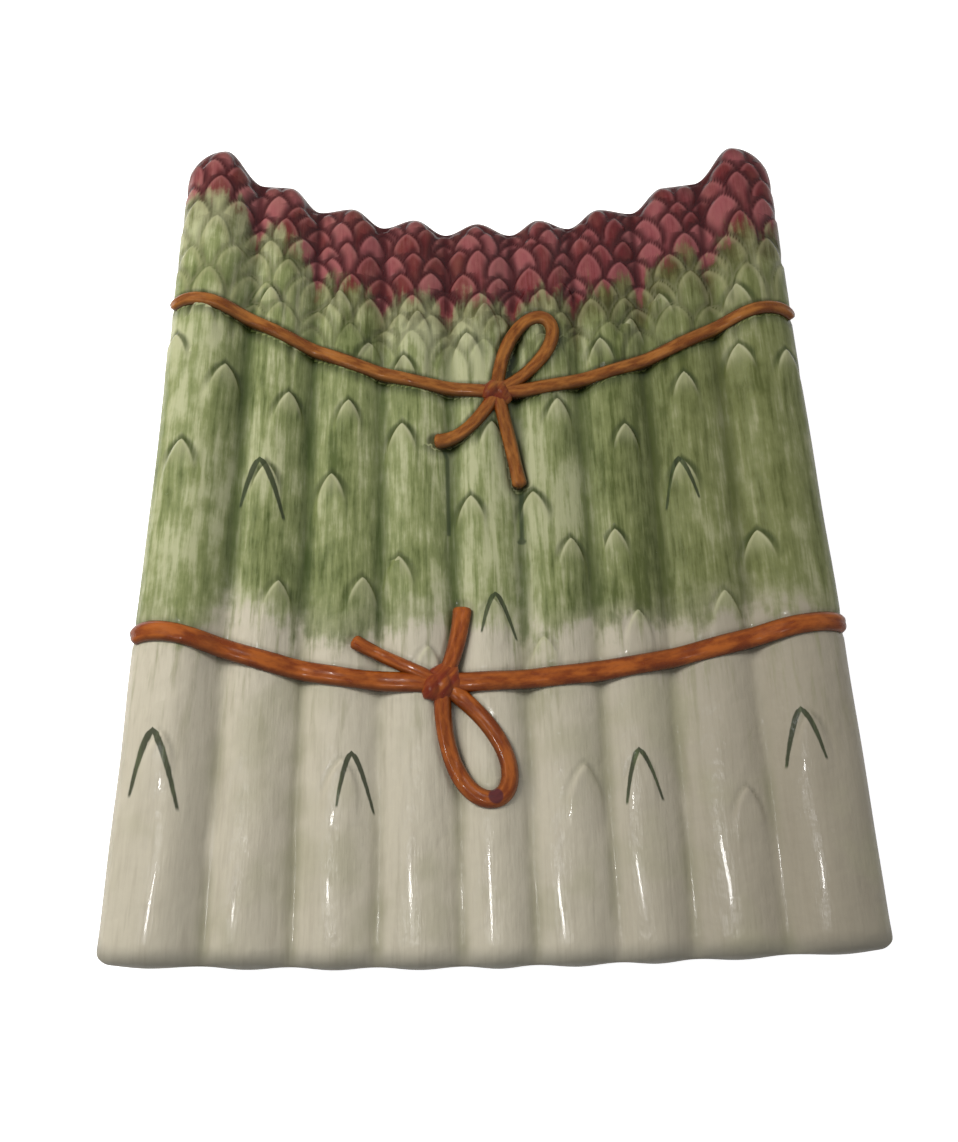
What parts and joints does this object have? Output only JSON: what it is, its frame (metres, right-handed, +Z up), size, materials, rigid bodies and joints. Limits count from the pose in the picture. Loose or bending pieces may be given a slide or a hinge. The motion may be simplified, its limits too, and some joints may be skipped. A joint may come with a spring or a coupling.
{
  "type": "asparagus plate",
  "caption": "Glazed ceramic plate shaped as a bundle of asparagus spears, dished across its width, tied with modelled cord bows, on a foot ring.",
  "frame": {"origin": "centre of the bounding box at the face the foot ring stands on", "axes": "+X to the right across the spears, +Y along the spears from the butts to the tips, +Z up from the table"},
  "size_m": [0.231, 0.27, 0.0241],
  "materials": {
    "painted_glaze": "hand painted under a clear gloss glaze",
    "cord_glaze": "hand painted brown under a clear gloss glaze",
    "foot_glaze": "clear gloss glaze, wiped bare on the rim it stands on"
  },
  "bodies": {
    "root": {"spear_bundle": "painted_glaze", "foot_ring": "foot_glaze", "upper_band_left": "cord_glaze", "upper_band_right": "cord_glaze", "upper_knot": "cord_glaze", "upper_loop": "cord_glaze", "upper_tail_left": "cord_glaze", "upper_tail_right": "cord_glaze", "lower_band_left": "cord_glaze", "lower_band_right": "cord_glaze", "lower_knot": "cord_glaze", "lower_loop": "cord_glaze", "lower_tail_left": "cord_glaze", "lower_tail_up": "cord_glaze"}
  },
  "joints": []
}
